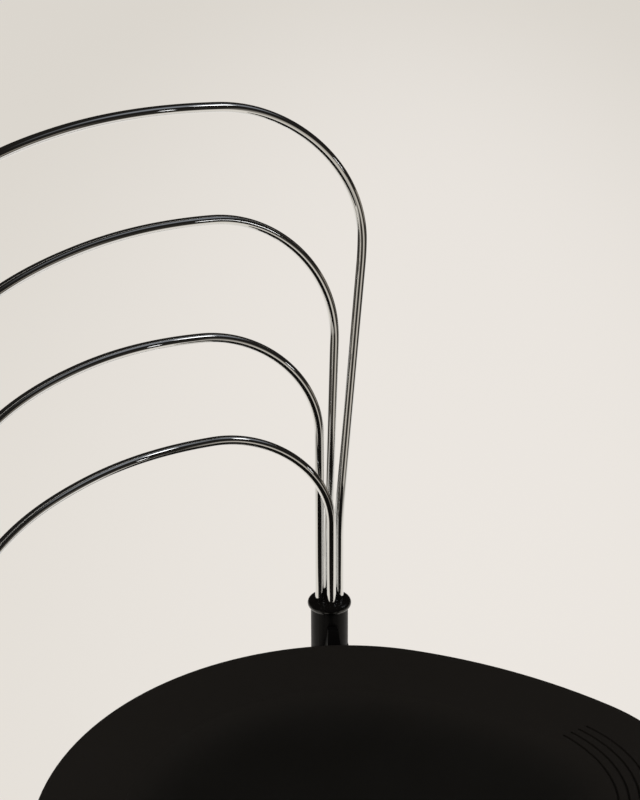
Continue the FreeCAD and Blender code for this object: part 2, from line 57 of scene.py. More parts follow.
MM = 0.001
BODY = "root"

Colour = Tuple[float, float, float, float]
Point = Tuple[float, float, float]


class Side(Enum):
    """The two sides of the chair, as the sitter knows them."""

    LEFT = 1
    RIGHT = -1

    @property
    def word(self) -> str:
        """The side's name as the nodes spell it."""
        return self.name.lower()


def linear(code: str) -> Colour:
    """Turn an sRGB hex value into the linear colour that the shaders take.

    Args:
        code: Six hex digits, with or without a leading #.

    Returns:
        Red, green and blue in linear light, and an alpha of 1.
    """
    digits = code.lstrip("#")
    channels = []
    for start in (0, 2, 4):
        value = int(digits[start:start + 2], 16) / 255
        if value <= 0.04045:
            channels.append(value / 12.92)
        else:
            channels.append(((value + 0.055) / 1.055) ** 2.4)
    return (channels[0], channels[1], channels[2], 1.0)


def add_node(
    tree: bpy.types.NodeTree,
    kind: str,
    settings: Optional[Dict[str, Any]] = None,
    inputs: Optional[Dict[str, Any]] = None,
) -> bpy.types.Node:
    """Add a node with its settings, its socket values and its links.

    Args:
        tree: The tree that gets the node.
        kind: The node's type name.
        settings: Properties of the node itself.
        inputs: A value for each named or numbered socket, or the output socket that feeds it.

    Returns:
        The new node.
    """
    node = tree.nodes.new(kind)
    for name, value in (settings or {}).items():
        setattr(node, name, value)
    for name, value in (inputs or {}).items():
        socket = node.inputs[name]
        if isinstance(value, bpy.types.NodeSocket):
            tree.links.new(value, socket)
        else:
            socket.default_value = value
    return node


def set_stops(node: bpy.types.Node, stops: Sequence[Tuple[float, Colour]]) -> None:
    """Give a colour ramp its stops, each a place from 0 to 1 and a colour."""
    ramp = node.color_ramp.elements
    while len(ramp) < len(stops):
        ramp.new(0.5)
    for element, (place, colour) in zip(ramp, stops):
        element.position = place
        element.color = colour


def new_material(name: str) -> Tuple[bpy.types.Material, bpy.types.NodeTree, bpy.types.Node]:
    """An empty node material, its tree and its Principled shader, already linked to the output."""
    material = bpy.data.materials.new(name)
    material.use_nodes = True
    tree = material.node_tree
    tree.nodes.clear()
    shader = add_node(tree, "ShaderNodeBsdfPrincipled")
    add_node(tree, "ShaderNodeOutputMaterial", inputs={"Surface": shader.outputs["BSDF"]})
    return material, tree, shader


# Finishes


@dataclass(frozen=True)
class MouldedSeat:
    """Black glass-filled nylon, moulded in a fine spark-eroded texture.

    The texture spreads the light, so the seat looks almost flat black, with a faint warm sheen
    where the light grazes it. The rim has a painted sheen, a little lighter than the dish.
    """

    colour: str = "#0f0e0c"
    worn_colour: str = "#131210"
    # Painted sheen: the raised rim's colour, lighter than the dish's.
    rim_sheen_colour: str = "#1c1916"
    rim_drop: float = 0.003
    dish_drop: float = 0.016
    roughness: float = 0.72
    roughness_spread: float = 0.05
    ior: float = 1.53
    # A real spark-eroded texture is finer and wouldn't show, so the grain is drawn this coarse.
    grain_mm: float = 0.9
    grain_strength: float = 0.18
    grain_depth: float = 0.0002
    cloud_mm: float = 70.0
    cloud_from: float = 0.35
    cloud_to: float = 0.75

    def material(self) -> bpy.types.Material:
        """Build the material."""
        material, tree, shader = new_material("nylon_moulded_black")
        place = add_node(tree, "ShaderNodeTexCoord").outputs["Object"]
        cloud = add_node(
            tree, "ShaderNodeTexNoise",
            inputs={"Vector": place, "Scale": 1 / (self.cloud_mm * MM), "Detail": 3.0},
        ).outputs["Fac"]
        tone = add_node(tree, "ShaderNodeValToRGB", inputs={"Fac": cloud})
        set_stops(
            tone,
            [(self.cloud_from, linear(self.colour)), (self.cloud_to, linear(self.worn_colour))],
        )
        grain = add_node(
            tree, "ShaderNodeTexNoise",
            inputs={
                "Vector": place, "Scale": 1 / (self.grain_mm * MM), "Detail": 4.0, "Roughness": 0.6,
            },
        ).outputs["Fac"]
        rough = add_node(
            tree, "ShaderNodeMapRange",
            inputs={
                "Value": cloud, "From Min": 0.3, "From Max": 0.7,
                "To Min": self.roughness - self.roughness_spread,
                "To Max": self.roughness + self.roughness_spread,
            },
        ).outputs["Result"]
        bump = add_node(
            tree, "ShaderNodeBump",
            inputs={"Height": grain, "Strength": self.grain_strength, "Distance": self.grain_depth},
        ).outputs["Normal"]
        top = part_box("seat_shell")[1][2]
        height = add_node(tree, "ShaderNodeSeparateXYZ", inputs={"Vector": place}).outputs["Z"]
        # Painted sheen: the colour is mixed lighter towards the raised rim than in the dish.
        rim = add_node(
            tree, "ShaderNodeMapRange", {"interpolation_type": "SMOOTHSTEP"},
            {"Value": height, "From Min": top - self.dish_drop, "From Max": top - self.rim_drop},
        ).outputs["Result"]
        painted_rim_sheen = add_node(
            tree, "ShaderNodeMix", {"data_type": "RGBA"},
            {"Factor": rim, "A": tone.outputs["Color"], "B": linear(self.rim_sheen_colour)},
        ).outputs["Result"]
        tree.links.new(painted_rim_sheen, shader.inputs["Base Color"])
        tree.links.new(rough, shader.inputs["Roughness"])
        tree.links.new(bump, shader.inputs["Normal"])
        shader.inputs["IOR"].default_value = self.ior
        return material


@dataclass(frozen=True)
class ChromePlate:
    """Bright chromium plate on polished steel rod.

    It mirrors the room with hardly any blur, and the blur changes a little along the rod.
    """

    colour: str = "#e9eaea"
    roughness: float = 0.03
    sharpest_share: float = 0.6
    softest_share: float = 1.5
    wave_mm: float = 14.0

    def material(self) -> bpy.types.Material:
        """Build the material."""
        material, tree, shader = new_material("chromium_plate_polished")
        place = add_node(tree, "ShaderNodeTexCoord").outputs["Object"]
        wave = add_node(
            tree, "ShaderNodeTexNoise",
            inputs={"Vector": place, "Scale": 1 / (self.wave_mm * MM), "Detail": 2.0},
        ).outputs["Fac"]
        rough = add_node(
            tree, "ShaderNodeMapRange",
            inputs={
                "Value": wave,
                "To Min": self.roughness * self.sharpest_share,
                "To Max": self.roughness * self.softest_share,
            },
        ).outputs["Result"]
        tree.links.new(rough, shader.inputs["Roughness"])
        shader.inputs["Base Color"].default_value = linear(self.colour)
        shader.inputs["Metallic"].default_value = 1.0
        return material


@dataclass(frozen=True)
class PowderCoat:
    """Satin black polyester powder coat, baked on steel tube.

    It flows out to a faint orange peel, which breaks up the edge of each highlight.
    """

    colour: str = "#0b0a0a"
    roughness: float = 0.4
    roughness_spread: float = 0.06
    ior: float = 1.5
    sheen: float = 0.12
    peel_mm: float = 1.6
    peel_strength: float = 0.12
    peel_depth: float = 0.0003

    def material(self) -> bpy.types.Material:
        """Build the material."""
        material, tree, shader = new_material("powder_coat_satin_black")
        place = add_node(tree, "ShaderNodeTexCoord").outputs["Object"]
        peel = add_node(
            tree, "ShaderNodeTexNoise",
            inputs={"Vector": place, "Scale": 1 / (self.peel_mm * MM), "Detail": 2.0},
        ).outputs["Fac"]
        bump = add_node(
            tree, "ShaderNodeBump",
            inputs={"Height": peel, "Strength": self.peel_strength, "Distance": self.peel_depth},
        ).outputs["Normal"]
        rough = add_node(
            tree, "ShaderNodeMapRange",
            inputs={
                "Value": peel,
                "To Min": self.roughness - self.roughness_spread,
                "To Max": self.roughness + self.roughness_spread,
            },
        ).outputs["Result"]
        tree.links.new(rough, shader.inputs["Roughness"])
        tree.links.new(bump, shader.inputs["Normal"])
        shader.inputs["Base Color"].default_value = linear(self.colour)
        shader.inputs["IOR"].default_value = self.ior
        shader.inputs["Specular IOR Level"].default_value = self.sheen
        return material


@dataclass(frozen=True)
class MouldedCap:
    """Black acetal, injection moulded against a polished tool.

    Its lip takes a crisp highlight and its top stays a deep black.
    """

    colour: str = "#0e0d0c"
    sharpest: float = 0.15
    softest: float = 0.28
    ior: float = 1.48
    flow_mm: float = 5.0

    def material(self) -> bpy.types.Material:
        """Build the material."""
        material, tree, shader = new_material("acetal_moulded_black")
        place = add_node(tree, "ShaderNodeTexCoord").outputs["Object"]
        flow = add_node(
            tree, "ShaderNodeTexNoise",
            inputs={"Vector": place, "Scale": 1 / (self.flow_mm * MM), "Detail": 3.0},
        ).outputs["Fac"]
        rough = add_node(
            tree, "ShaderNodeMapRange",
            inputs={"Value": flow, "To Min": self.sharpest, "To Max": self.softest},
        ).outputs["Result"]
        tree.links.new(rough, shader.inputs["Roughness"])
        shader.inputs["Base Color"].default_value = linear(self.colour)
        shader.inputs["IOR"].default_value = self.ior
        return material


@dataclass(frozen=True)
class MouldedGlide:
    """Black polyethylene glide, moulded with a fine stipple and scuffed at the floor."""

    colour: str = "#1b1b1a"
    scuffed_colour: str = "#3a3936"
    roughness: float = 0.55
    ior: float = 1.51
    stipple_mm: float = 0.8
    stipple_strength: float = 0.2
    stipple_depth: float = 0.0002
    scuff_height: float = 0.0035
    scuff_share: float = 0.9

    def material(self) -> bpy.types.Material:
        """Build the material."""
        material, tree, shader = new_material("polyethylene_moulded_black")
        place = add_node(tree, "ShaderNodeTexCoord").outputs["Object"]
        stipple = add_node(
            tree, "ShaderNodeTexNoise",
            inputs={"Vector": place, "Scale": 1 / (self.stipple_mm * MM), "Detail": 3.0},
        ).outputs["Fac"]
        height = add_node(tree, "ShaderNodeSeparateXYZ", inputs={"Vector": place}).outputs["Z"]
        scuff = add_node(
            tree, "ShaderNodeMapRange",
            inputs={
                "Value": height, "From Min": 0.0, "From Max": self.scuff_height,
                "To Min": self.scuff_share, "To Max": 0.0,
            },
        ).outputs["Result"]
        patchy = add_node(
            tree, "ShaderNodeMath", {"operation": "MULTIPLY"}, {0: scuff, 1: stipple}
        ).outputs["Value"]
        tone = add_node(
            tree, "ShaderNodeMix", {"data_type": "RGBA"},
            {"Factor": patchy, "A": linear(self.colour), "B": linear(self.scuffed_colour)},
        )
        bump = add_node(
            tree, "ShaderNodeBump",
            inputs={
                "Height": stipple,
                "Strength": self.stipple_strength,
                "Distance": self.stipple_depth,
            },
        ).outputs["Normal"]
        tree.links.new(tone.outputs["Result"], shader.inputs["Base Color"])
        tree.links.new(bump, shader.inputs["Normal"])
        shader.inputs["Roughness"].default_value = self.roughness
        shader.inputs["IOR"].default_value = self.ior
        return material


@dataclass(frozen=True)
class ZincPlate:
    """Bright zinc plate on turned steel screws and washers, with a soft blue-grey blur."""

    colour: str = "#b9bcbf"
    sharpest: float = 0.2
    softest: float = 0.4
    mottle_mm: float = 2.0

    def material(self) -> bpy.types.Material:
        """Build the material."""
        material, tree, shader = new_material("zinc_plate_bright")
        place = add_node(tree, "ShaderNodeTexCoord").outputs["Object"]
        mottle = add_node(
            tree, "ShaderNodeTexNoise",
            inputs={"Vector": place, "Scale": 1 / (self.mottle_mm * MM), "Detail": 4.0},
        ).outputs["Fac"]
        rough = add_node(
            tree, "ShaderNodeMapRange",
            inputs={"Value": mottle, "To Min": self.sharpest, "To Max": self.softest},
        ).outputs["Result"]
        tree.links.new(rough, shader.inputs["Roughness"])
        shader.inputs["Base Color"].default_value = linear(self.colour)
        shader.inputs["Metallic"].default_value = 1.0
        return material


def dress(node: str, material: bpy.types.Material) -> None:
    """Give a CAD node its finish and report it."""
    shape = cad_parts[node]
    shape.data.materials.clear()
    shape.data.materials.append(material)
    LOG.info("dressed %s in %s", node, material.name)


# Sub-assemblies


@dataclass
class Seat:
    """The moulded seat."""

    finish: MouldedSeat = field(default_factory=MouldedSeat)

    def build(self) -> None:
        """Dress the shell."""
        dress("seat_shell", self.finish.material())


@dataclass(frozen=True)
class Arch:
    """One rod of the back, in millimetres and degrees.

    Column 1 is the caps' outer holes and -1 their inner ones, and row 1 is the rear holes and -1
    the front ones. The rod rises straight, leans outward, and turns over a shoulder into its crown.
    """

    node: str
    column: int
    row: int
    straight: float
    lean: float
    height: float
    setback: float
    shoulder_radius: float
    crown_radius: float


def tube_mesh(name: str, line: Sequence[Vector], radius: float, sides: int) -> bpy.types.Mesh:
    """Sweep a circle along a line of points, with no twist, and close both ends.

    Args:
        name: The mesh's name.
        line: Points down the middle of the tube.
        radius: The tube's radius.
        sides: How many faces go round it.

    Returns:
        The smooth-shaded mesh.
    """
    ways = [(b - a).normalized() for a, b in zip(line, line[1:])]
    tangents = [ways[0]] + [(a + b).normalized() for a, b in zip(ways, ways[1:])] + [ways[-1]]
    across = tangents[0].orthogonal().normalized()
    points: List[Vector] = []
    for spot, tangent in zip(line, tangents):
        across = (across - tangent * across.dot(tangent)).normalized()
        other = tangent.cross(across)
        for step in range(sides):
            angle = 2 * math.pi * step / sides
            points.append(spot + (across * math.cos(angle) + other * math.sin(angle)) * radius)
    faces: List[Tuple[int, ...]] = []
    for ring in range(len(line) - 1):
        for step in range(sides):
            following = (step + 1) % sides
            low, high = ring * sides, (ring + 1) * sides
            faces.append((low + step, low + following, high + following, high + step))
    faces.append(tuple(range(sides))[::-1])
    faces.append(tuple(range((len(line) - 1) * sides, len(line) * sides)))
    mesh = bpy.data.meshes.new(name)
    mesh.from_pydata([tuple(point) for point in points], [], faces)
    for polygon in mesh.polygons:
        polygon.use_smooth = len(polygon.vertices) == 4
    return mesh


@dataclass
class RodBack:
    """The four arches, in millimetres, swept finely enough to mirror the room without a break."""

    finish: ChromePlate = field(default_factory=ChromePlate)
    rod_radius: float = 3.25
    hole_offset: float = 4.9
    hole_depth: float = 24.0
    cap_dome: float = 0.8
    knee_radius: float = 260.0
    setback_power: float = 2.2
    sides: int = 48
    step_mm: float = 1.5
    arches: Tuple[Arch, ...] = (
        Arch("back_rod_top", 1, -1, 45.0, 8.5, 370.5, 66.0, 104.5, 953.0),
        Arch("back_rod_upper", 1, 1, 18.0, 3.2, 301.5, 55.5, 100.5, 793.0),
        Arch("back_rod_lower", -1, 1, 30.0, 0.0, 223.0, 64.5, 87.5, 722.0),
        Arch("back_rod_bottom", -1, -1, 30.0, 0.0, 147.0, 64.0, 79.0, 1172.0),
    )

    def half_line(self, arch: Arch, socket_x: float) -> List[Point]:
        """Points down the middle of an arch's left half, in millimetres from the cap's top.

        Args:
            arch: The arch.
            socket_x: How far the sockets stand from the chair's middle.

        Returns:
            The points, from the floor of the hole up to the middle of the crown.
        """
        hole_x = socket_x + arch.column * self.hole_offset
        hole_y = arch.row * self.hole_offset
        lean = math.radians(arch.lean)
        shoulder, crown = arch.shoulder_radius, arch.crown_radius
        crown_centre = arch.height - crown
        leg_x = hole_x + self.knee_radius * (1 - math.cos(lean))
        leg_z = arch.straight + self.knee_radius * math.sin(lean)
        off_x = leg_x - shoulder * math.cos(lean)
        off_z = leg_z + shoulder * math.sin(lean) - crown_centre
        along = off_x * math.sin(lean) + off_z * math.cos(lean)
        spare = off_x ** 2 + off_z ** 2 - (crown - shoulder) ** 2
        run = -along + math.sqrt(along ** 2 - spare)
        centre_x = leg_x + run * math.sin(lean) - shoulder * math.cos(lean)
        centre_z = leg_z + run * math.cos(lean) + shoulder * math.sin(lean)
        turn = math.atan2(centre_z - crown_centre, centre_x)
        widest = centre_x + shoulder

        def steps(length: float) -> List[float]:
            """Even shares of a stretch, without its first end."""
            count = max(1, math.ceil(length / self.step_mm))
            return [(step + 1) / count for step in range(count)]

        flat = [(hole_x, -self.hole_depth)]
        rise = arch.straight + self.hole_depth
        flat += [(hole_x, -self.hole_depth + rise * share) for share in steps(rise)]
        if lean > 0:
            for share in steps(self.knee_radius * lean):
                angle = lean * share
                out = self.knee_radius * (1 - math.cos(angle))
                flat.append((hole_x + out, arch.straight + self.knee_radius * math.sin(angle)))
        flat += [
            (leg_x + run * share * math.sin(lean), leg_z + run * share * math.cos(lean))
            for share in steps(run)
        ]
        for share in steps(shoulder * (turn + lean)):
            angle = -lean + (turn + lean) * share
            flat.append(
                (centre_x + shoulder * math.cos(angle), centre_z + shoulder * math.sin(angle))
            )
        for share in steps(crown * (math.pi / 2 - turn)):
            angle = turn + (math.pi / 2 - turn) * share
            flat.append((crown * math.cos(angle), crown_centre + crown * math.sin(angle)))
        line = []
        for x, z in flat:
            back = 0.0
            if z > centre_z:
                out = min(max(x, 0.0) / widest, 1.0)
                back = (arch.setback - hole_y) * (1 - out ** self.setback_power)
            line.append((x, hole_y + back, z))
        return line

    def build(self) -> None:
        """Sweep the arches and stand each one in place of its CAD node."""
        material = self.finish.material()
        low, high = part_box("rod_cap_left")
        socket_x = (low[0] + high[0]) / 2 / MM
        base = Vector((0.0, (low[1] + high[1]) / 2, high[2] - self.cap_dome * MM))
        for arch in self.arches:
            half = self.half_line(arch, socket_x)
            whole = half + [(-x, y, z) for x, y, z in reversed(half[:-1])]
            line = [base + Vector(point) * MM for point in whole]
            mesh = tube_mesh(arch.node + "_chromed", line, self.rod_radius * MM, self.sides)
            mesh.materials.append(material)
            rod = bpy.data.objects.new(arch.node + "_chromed", mesh)
            bpy.context.scene.collection.objects.link(rod)
            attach(rod, BODY)
            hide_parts(arch.node)
            LOG.info("swept %s through %d points", rod.name, len(line))


@dataclass
class Welds:
    """The weld beads where the rails meet the legs, each a saddle round a rail's end."""

    leg_radius_mm: float = 13.25
    rail_radius_mm: float = 9.0
    front_leg_x_mm: float = 145.0
    bead_mm: float = 1.5
    ripple: float = 0.16
    ripples: int = 26
    steps: int = 156
    sides: int = 10

    def saddle(self, name: str, leg: Vector, way: Vector) -> bpy.types.Mesh:
        """Shape one bead.

        Args:
            name: The mesh's name.
            leg: The middle of the leg, at the rail's height.
            way: Level unit vector from the leg along the rail.

        Returns:
            The smooth-shaded ring.
        """
        across = way.cross(Vector((0.0, 0.0, 1.0)))
        rail, reach = self.rail_radius_mm * MM, self.leg_radius_mm * MM
        line: List[Vector] = []
        outs: List[Vector] = []
        for step in range(self.steps):
            angle = 2 * math.pi * step / self.steps
            out = across * math.cos(angle) + Vector((0.0, 0.0, math.sin(angle)))
            along = math.sqrt(reach ** 2 - (rail * math.cos(angle)) ** 2)
            line.append(leg + out * rail + way * along)
            outs.append(out)
        points: List[Vector] = []
        for step, (spot, out) in enumerate(zip(line, outs)):
            tangent = (line[(step + 1) % self.steps] - line[step - 1]).normalized()
            out = (out - tangent * out.dot(tangent)).normalized()
            other = tangent.cross(out)
            swell = 1 + self.ripple * abs(math.sin(math.pi * step * self.ripples / self.steps))
            radius = self.bead_mm * MM * swell
            for corner in range(self.sides):
                angle = 2 * math.pi * corner / self.sides
                points.append(spot + (out * math.cos(angle) + other * math.sin(angle)) * radius)
        faces = []
        for step in range(self.steps):
            low, high = step * self.sides, (step + 1) % self.steps * self.sides
            for corner in range(self.sides):
                following = (corner + 1) % self.sides
                faces.append((low + corner, low + following, high + following, high + corner))
        mesh = bpy.data.meshes.new(name)
        mesh.from_pydata([tuple(point) for point in points], [], faces)
        for polygon in mesh.polygons:
            polygon.use_smooth = True
        return mesh

    def build(self, material: bpy.types.Material) -> None:
        """Lay a bead of the frame's finish round both ends of all four rails."""
        cap_low, cap_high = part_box("rod_cap_left")
        rail_low, rail_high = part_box("front_rail")
        height = (rail_low[2] + rail_high[2]) / 2
        rear = ((cap_low[0] + cap_high[0]) / 2, (cap_low[1] + cap_high[1]) / 2)
        front = (self.front_leg_x_mm * MM, (rail_low[1] + rail_high[1]) / 2)
        legs = {
            (row, side): Vector((side.value * place[0], place[1], height))
            for row, place in (("rear", rear), ("front", front)) for side in Side
        }
        runs = [("side_rail", ("rear", side), ("front", side)) for side in Side]
        runs += [(row + "_rail", (row, Side.LEFT), (row, Side.RIGHT)) for row in ("rear", "front")]
        for rail, first, second in runs:
            for start, end in ((first, second), (second, first)):
                name = f"weld_{rail}_{start[0]}_{start[1].word}"
                way = (legs[end] - legs[start]).normalized()
                mesh = self.saddle(name, legs[start], way)
                mesh.materials.append(material)
                bead = bpy.data.objects.new(name, mesh)
                bpy.context.scene.collection.objects.link(bead)
                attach(bead, BODY)
                LOG.info("laid %s", name)


@dataclass
class TubeFrame:
    """The legs, the rails, their welds, the seat's brackets and the caps on the back sockets."""

    welds: Welds = field(default_factory=Welds)
    finish: PowderCoat = field(default_factory=PowderCoat)
    cap_finish: MouldedCap = field(default_factory=MouldedCap)

    def build(self) -> None:
        """Dress the tubes and caps."""
        coat = self.finish.material()
        cap = self.cap_finish.material()
        for side in Side:
            for piece in ("rear_leg", "front_leg", "rear_seat_arm", "front_seat_plate", "side_rail"):
                dress(f"{piece}_{side.word}", coat)
            dress("rod_cap_" + side.word, cap)
        dress("front_rail", coat)
        dress("rear_rail", coat)
        self.welds.build(coat)


@dataclass
class Feet:
    """The four glides."""

    finish: MouldedGlide = field(default_factory=MouldedGlide)

    def build(self) -> None:
        """Dress the glides."""
        material = self.finish.material()
        for side in Side:
            for row in ("rear_", "front_"):
                dress("foot_glide_" + row + side.word, material)


@dataclass
class Fasteners:
    """The seat's screws and washers."""

    finish: ZincPlate = field(default_factory=ZincPlate)

    def build(self) -> None:
        """Dress the fasteners."""
        material = self.finish.material()
        dress("seat_screws", material)
        dress("seat_washers", material)


# Studio


@dataclass(frozen=True)
class Panel:
    """A lit patch of the room, which shows only in shiny surfaces.

    The bearing runs from +X towards +Y, the height is the angle above the level, and the edge is
    how much wider the patch's soft rim is than its middle.
    """

    bearing_deg: float
    height_deg: float
    radius_deg: float
    edge_deg: float
    colour: str
    strength: float

    def way(self) -> Point:
        """Unit vector from the chair to the patch."""
        bearing = math.radians(self.bearing_deg)
        height = math.radians(self.height_deg)
        return (
            math.cos(height) * math.cos(bearing),
            math.cos(height) * math.sin(bearing),
            math.sin(height),
        )


@dataclass(frozen=True)
class Lamp:
    """A square soft lamp, in metres and watts."""

    name: str
    place: Point
    size: float
    power: float


@dataclass
class Studio:
    """The floor, the light, the surroundings that the chrome mirrors, and the camera."""

    # What the eye sees of the floor and the backdrop.
    backdrop: str = "#f2ede7"
    backdrop_edge: str = "#e4dfd7"
    backdrop_far: str = "#dcd7cf"
    floor_size: float = 60.0
    shown_share: float = 0.85
    pool_centre: Point = (1.69, 0.87, 0.0)
    pool_long: float = 3.0
    pool_wide: float = 0.8
    fade_from: float = 0.15
    fade_full: float = 1.3
    # What the chrome mirrors: the room, the floor beyond the chair, and the floor's near side.
    room_dark: str = "#201e1c"
    room_light: str = "#9b9894"
    floor_far: str = "#8a8277"
    floor_dark: str = "#24211d"
    pale_ahead: float = 0.9
    pale_squeeze: float = 1.5
    floor_stops: Tuple[float, ...] = (2.05, 2.45, 4.3, 5.0)
    floor_near: str = "#e6e0d6"
    bands_from: float = 1.0
    bands_full: float = 1.5
    ahead_from: float = 0.05
    ahead_full: float = 0.4
    floor_bands: Tuple[Tuple[float, str], ...] = (
        (-1.0, "#2b2824"),
        (-0.95, "#3a3630"),
        (-0.86, "#cbc4b9"),
        (-0.62, "#c4bdb2"),
        (-0.4, "#24211d"),
        (0.1, "#35312c"),
        (0.4, "#a39c91"),
    )
    panels: Tuple[Panel, ...] = (
        Panel(294.0, 3.0, 1.0, 1.2, "#ffffff", 4.0),
        Panel(305.0, 40.0, 1.6, 2.4, "#ffffff", 5.0),
        Panel(318.0, 44.0, 6.0, 11.0, "#dde3ec", 0.3),
    )
    lamps: Tuple[Lamp, ...] = (
        Lamp("key", (-1.6, 0.9, 2.6), 1.2, 40.0),
        Lamp("fill", (1.4, -1.8, 2.2), 1.6, 18.0),
    )
    lamp_target: Point = (0.0, 0.0, 0.5)
    camera_from_cap: Point = (-0.93084, -0.61980, 0.64405)
    camera_heading_deg: float = 33.97
    camera_pitch_deg: float = 23.72
    camera_roll_deg: float = 0.24
    focal_px: float = 1808.0
    frame_height_px: float = 800.0
    sensor_mm: float = 36.0

    def look(self) -> Vector:
        """The level way that the camera looks."""
        heading = math.radians(self.camera_heading_deg)
        return Vector((math.cos(heading), math.sin(heading), 0.0))

    def camera_place(self) -> Vector:
        """Where the camera stands, reckoned from the middle of the left socket's cap."""
        low, high = (Vector(corner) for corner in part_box("rod_cap_left"))
        middle = (low + high) / 2
        return Vector((middle.x, middle.y, high.z)) + Vector(self.camera_from_cap)

    def build_camera(self) -> None:
        """Stand the camera at the photograph's place and angle."""
        pitch = math.radians(self.camera_pitch_deg)
        roll = math.radians(self.camera_roll_deg)
        level = self.look()
        up = Vector((0.0, 0.0, 1.0))
        right = level.cross(up)
        ahead = level * math.cos(pitch) - up * math.sin(pitch)
        above = level * math.sin(pitch) + up * math.cos(pitch)
        side = right * math.cos(roll) - above * math.sin(roll)
        top = right * math.sin(roll) + above * math.cos(roll)
        data = bpy.data.cameras.new("camera")
        data.sensor_width = self.sensor_mm
        data.lens = self.focal_px / self.frame_height_px * self.sensor_mm
        data.clip_start = 0.05
        data.clip_end = 200.0
        camera = bpy.data.objects.new("camera", data)
        turn = Matrix((side, top, -ahead)).transposed().to_4x4()
        camera.matrix_world = Matrix.Translation(self.camera_place()) @ turn
        bpy.context.scene.collection.objects.link(camera)
        bpy.context.scene.camera = camera

    def tone_ahead(
        self, tree: bpy.types.NodeTree, place: bpy.types.NodeSocket
    ) -> bpy.types.NodeSocket:
        """The mirrored floor's colour beyond the chair: pale near it, then dark, then half light.

        Args:
            tree: The floor's node tree.
            place: The place on the floor.

        Returns:
            The colour's socket.
        """
        look = self.look()
        ahead = add_node(
            tree, "ShaderNodeVectorMath", {"operation": "DOT_PRODUCT"}, {0: place, 1: tuple(look)}
        ).outputs["Value"]
        beyond = add_node(
            tree, "ShaderNodeMath", {"operation": "SUBTRACT"}, {0: ahead, 1: self.pale_ahead}
        ).outputs["Value"]
        across = (-look.y * self.pale_squeeze, look.x * self.pale_squeeze, 0.0)
        sideways = add_node(
            tree, "ShaderNodeVectorMath", {"operation": "DOT_PRODUCT"}, {0: place, 1: across}
        ).outputs["Value"]
        spread = add_node(
            tree, "ShaderNodeCombineXYZ", inputs={"X": beyond, "Y": sideways}
        ).outputs["Vector"]
        reach = add_node(
            tree, "ShaderNodeVectorMath", {"operation": "LENGTH"}, {0: spread}
        ).outputs["Value"]
        widest = self.floor_stops[-1]
        share = add_node(
            tree, "ShaderNodeMath", {"operation": "DIVIDE"}, {0: reach, 1: widest}
        ).outputs["Value"]
        rings = add_node(tree, "ShaderNodeValToRGB", inputs={"Fac": share})
        tones = (self.backdrop, self.floor_dark, self.floor_dark, self.floor_far)
        set_stops(
            rings,
            [(stop / widest, linear(tone)) for stop, tone in zip(self.floor_stops, tones)],
        )
        return rings.outputs["Color"]

    def mirrored_tone(
        self, tree: bpy.types.NodeTree, place: bpy.types.NodeSocket
    ) -> bpy.types.NodeSocket:
        """The floor's colour in shiny surfaces, with dark and light bands on the near side.

        Args:
            tree: The floor's node tree.
            place: The place on the floor.

        Returns:
            The colour's socket.
        """
        low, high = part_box("rod_cap_left")
        hub = ((low[0] + high[0]) / 2, (low[1] + high[1]) / 2, 0.0)
        outward = add_node(
            tree, "ShaderNodeVectorMath", {"operation": "SUBTRACT"}, {0: place, 1: hub}
        ).outputs["Vector"]
        bearing = add_node(
            tree, "ShaderNodeVectorMath", {"operation": "NORMALIZE"}, {0: outward}
        ).outputs["Vector"]
        facing = add_node(
            tree, "ShaderNodeVectorMath", {"operation": "DOT_PRODUCT"},
            {0: bearing, 1: tuple(self.look())},
        ).outputs["Value"]
        turn = add_node(
            tree, "ShaderNodeMapRange", inputs={"Value": facing, "From Min": -1.0, "From Max": 1.0}
        ).outputs["Result"]
        bands = add_node(tree, "ShaderNodeValToRGB", inputs={"Fac": turn})
        set_stops(bands, [((cosine + 1) / 2, linear(code)) for cosine, code in self.floor_bands])
        from_hub = add_node(
            tree, "ShaderNodeVectorMath", {"operation": "LENGTH"}, {0: outward}
        ).outputs["Value"]
        banded = add_node(
            tree, "ShaderNodeMapRange",
            inputs={"Value": from_hub, "From Min": self.bands_from, "From Max": self.bands_full},
        ).outputs["Result"]
        around = add_node(
            tree, "ShaderNodeMix", {"data_type": "RGBA"},
            {"Factor": banded, "A": linear(self.floor_near), "B": bands.outputs["Color"]},
        ).outputs["Result"]
        forward = add_node(
            tree, "ShaderNodeMapRange",
            inputs={"Value": facing, "From Min": self.ahead_from, "From Max": self.ahead_full},
        ).outputs["Result"]
        return add_node(
            tree, "ShaderNodeMix", {"data_type": "RGBA"},
            {"Factor": forward, "A": around, "B": self.tone_ahead(tree, place)},
        ).outputs["Result"]

    def painted_tone(
        self, tree: bpy.types.NodeTree, place: bpy.types.NodeSocket
    ) -> bpy.types.NodeSocket:
        """The floor's own colour, which fades softly away from a long pool of light.

        Args:
            tree: The floor's node tree.
            place: The place on the floor.

        Returns:
            The colour's socket.
        """
        look = self.look()
        from_pool = add_node(
            tree, "ShaderNodeVectorMath", {"operation": "SUBTRACT"}, {0: place, 1: self.pool_centre}
        ).outputs["Vector"]
        across = look.cross(Vector((0.0, 0.0, 1.0)))
        shares = [
            add_node(
                tree, "ShaderNodeVectorMath", {"operation": "DOT_PRODUCT"},
                {0: from_pool, 1: tuple(way / reach)},
            ).outputs["Value"]
            for way, reach in ((look, self.pool_long), (across, self.pool_wide))
        ]
        spread = add_node(
            tree, "ShaderNodeCombineXYZ", inputs={"X": shares[0], "Y": shares[1]}
        ).outputs["Vector"]
        pool = add_node(
            tree, "ShaderNodeVectorMath", {"operation": "LENGTH"}, {0: spread}
        ).outputs["Value"]
        faded = add_node(
            tree, "ShaderNodeMapRange", {"interpolation_type": "SMOOTHSTEP"},
            {"Value": pool, "From Min": self.fade_from, "From Max": self.fade_full},
        ).outputs["Result"]
        return add_node(
            tree, "ShaderNodeMix", {"data_type": "RGBA"},
            {"Factor": faded, "A": linear(self.backdrop), "B": linear(self.backdrop_edge)},
        ).outputs["Result"]

